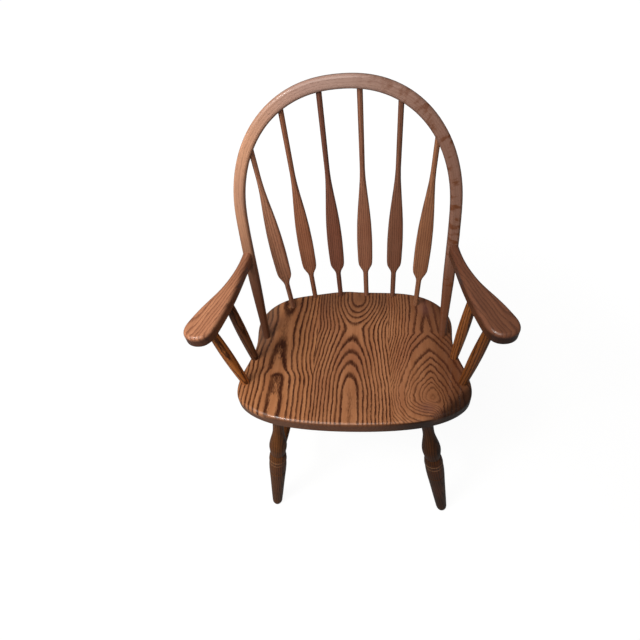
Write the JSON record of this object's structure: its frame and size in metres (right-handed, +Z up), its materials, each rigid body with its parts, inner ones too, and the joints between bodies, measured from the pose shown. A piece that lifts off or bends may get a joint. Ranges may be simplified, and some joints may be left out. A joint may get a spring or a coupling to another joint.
{
  "type": "windsor armchair",
  "caption": "Bow-back windsor armchair: saddled plank seat, bent bow with flat arrow spindles, paddle arms on turned posts, and splayed turned legs with an H stretcher",
  "frame": {"origin": "on the floor under the middle of the whole chair", "axes": "+Z up, +Y from the sitter's front to the back, +X to the right of someone facing the chair's front"},
  "size_m": [0.6106, 0.4742, 0.9907],
  "materials": {
    "stained_oak": "brown stained oak under glossy clear lacquer",
    "screw_steel": "plain zinc plated steel, hidden"
  },
  "bodies": {
    "root": {"arm_left": "stained_oak", "arm_post_front_left": "stained_oak", "arm_post_front_right": "stained_oak", "arm_post_rear_left": "stained_oak", "arm_post_rear_right": "stained_oak", "arm_right": "stained_oak", "arm_screw_plugs": "stained_oak", "arm_screws": "screw_steel", "bow": "stained_oak", "cross_stretcher": "stained_oak", "leg_front_left": "stained_oak", "leg_front_right": "stained_oak", "leg_rear_left": "stained_oak", "leg_rear_right": "stained_oak", "seat_board_centre": "stained_oak", "seat_board_left": "stained_oak", "seat_board_right": "stained_oak", "side_stretcher_left": "stained_oak", "side_stretcher_right": "stained_oak", "spindle_1": "stained_oak", "spindle_2": "stained_oak", "spindle_3": "stained_oak", "spindle_4": "stained_oak", "spindle_5": "stained_oak", "spindle_6": "stained_oak"}
  },
  "joints": []
}
